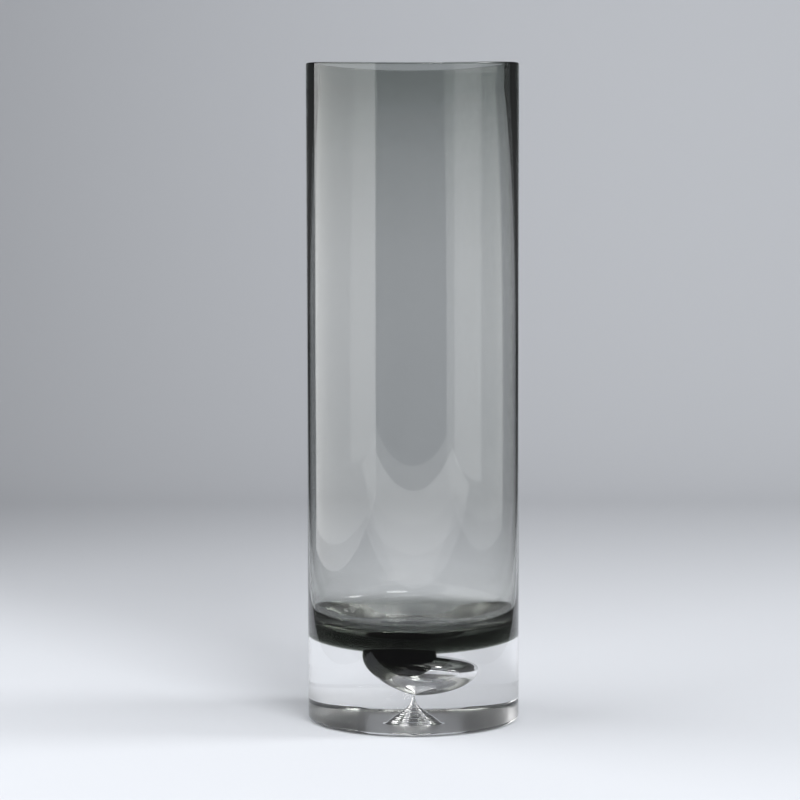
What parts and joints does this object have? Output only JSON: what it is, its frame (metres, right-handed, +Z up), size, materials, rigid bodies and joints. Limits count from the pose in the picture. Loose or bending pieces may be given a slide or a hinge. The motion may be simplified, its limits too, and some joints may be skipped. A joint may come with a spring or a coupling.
{
  "type": "glass cylinder vase",
  "caption": "Straight cased-glass cylinder vase, smoke-grey body fused to a thick clear foot with a trapped air bubble; holds cut flowers in water.",
  "frame": {"origin": "centre of the flat resting ring under the foot", "axes": "+Z up along the vase's axis, +X to the right and +Y away from the front; the cut rim is highest at +X and -X; the bubble in the foot leans 10 degrees to +X and the grey drip hangs on its -X, -Y side"},
  "size_m": [0.081, 0.081, 0.2506],
  "materials": {
    "smoke_glass": "fire-polished transparent smoke-grey glass; looks darker towards the rim, where the wall is thicker",
    "clear_glass": "fire-polished clear crystal glass, frosty and ripple-marked inside the underside hollow"
  },
  "bodies": {
    "root": {"smoke_body": "smoke_glass", "clear_foot": "clear_glass"}
  },
  "joints": []
}
